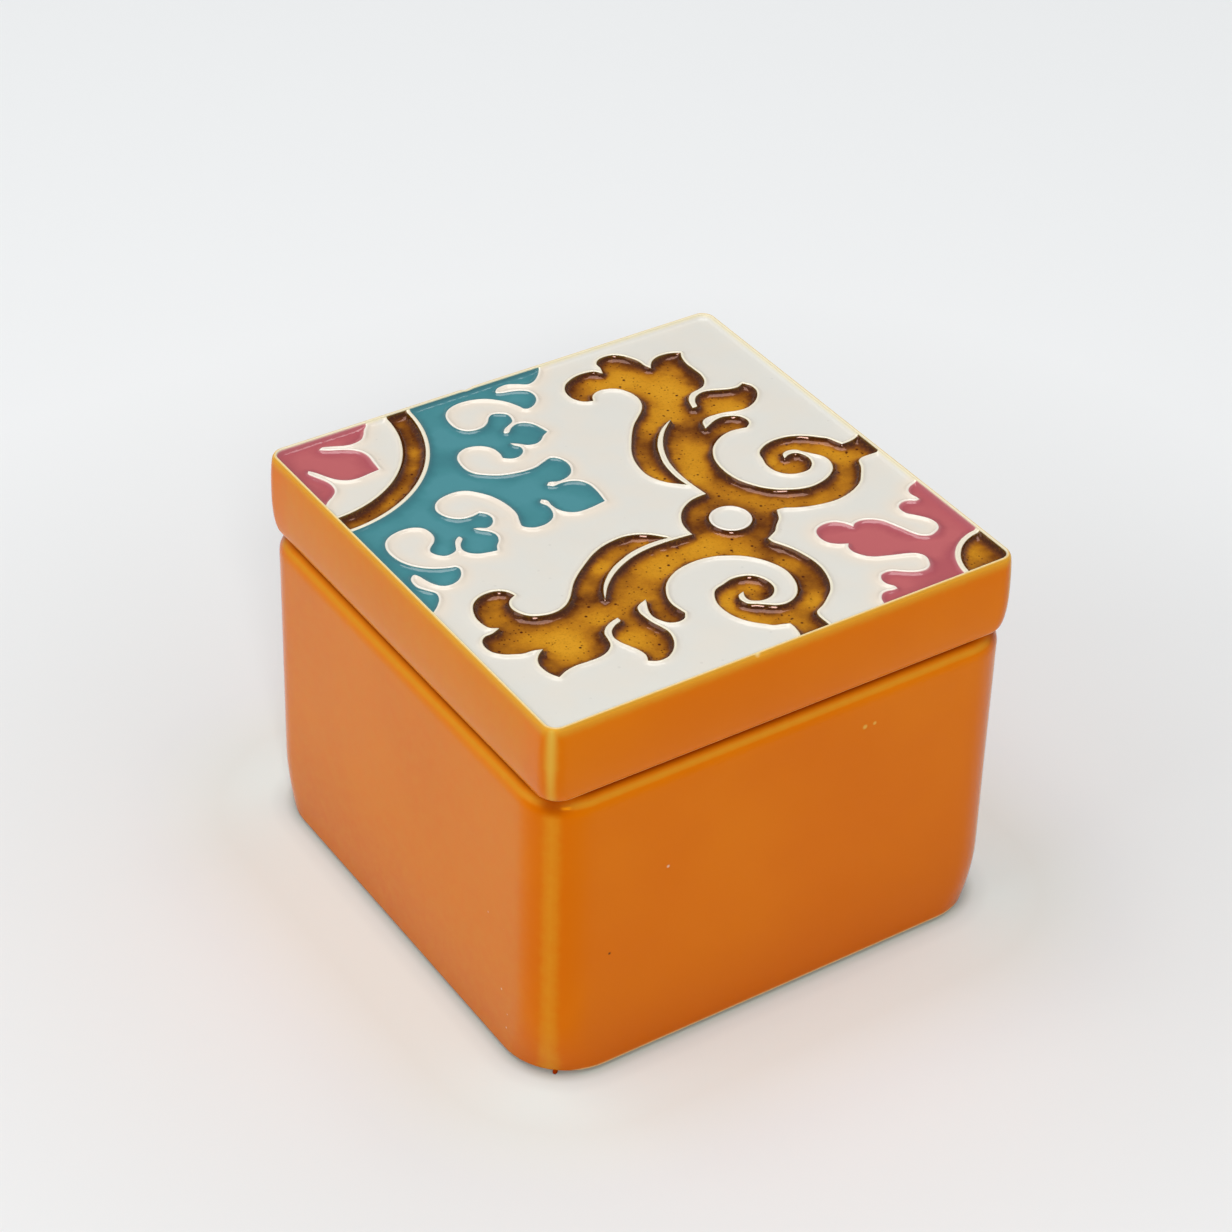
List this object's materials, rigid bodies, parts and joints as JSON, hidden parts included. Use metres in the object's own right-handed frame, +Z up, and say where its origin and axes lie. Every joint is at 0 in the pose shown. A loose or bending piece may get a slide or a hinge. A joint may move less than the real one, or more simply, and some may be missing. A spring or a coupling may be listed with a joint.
{
  "type": "ceramic box",
  "caption": "Square glazed ceramic box with rounded walls and a lift-off lid whose face is a relief tile with leaf scrolls in pooled coloured glaze.",
  "frame": {"origin": "middle of the foot, on the surface that the box stands on", "axes": "+Z up; the front wall faces -Y; the lid's corner flower is at the back left, towards -X and +Y"},
  "size_m": [0.104, 0.104, 0.082],
  "materials": {
    "orange_glaze": "glossy orange glaze, ochre where it thins over edges",
    "white_glaze": "glossy white glaze on the face, orange glaze on the sides",
    "rose_glaze": "glossy translucent rose glaze, paler towards the middle",
    "brown_glaze": "glossy translucent amber glaze, dark brown at its edges",
    "turquoise_glaze": "glossy translucent turquoise glaze, darker at its edges"
  },
  "bodies": {
    "body": {"box_body": "orange_glaze"},
    "lid": {"lid": "white_glaze", "rose_corner_flower": "rose_glaze", "brown_corner_band": "brown_glaze", "turquoise_leaf_spray": "turquoise_glaze", "brown_leaf_scroll": "brown_glaze", "rose_corner_sprig": "rose_glaze", "brown_corner_drop": "brown_glaze"}
  },
  "joints": [
    {"name": "lid_lift", "type": "slide", "parent": "body", "child": "lid", "axis": [0, 0, 1], "range_m": [0, 0.06]}
  ]
}
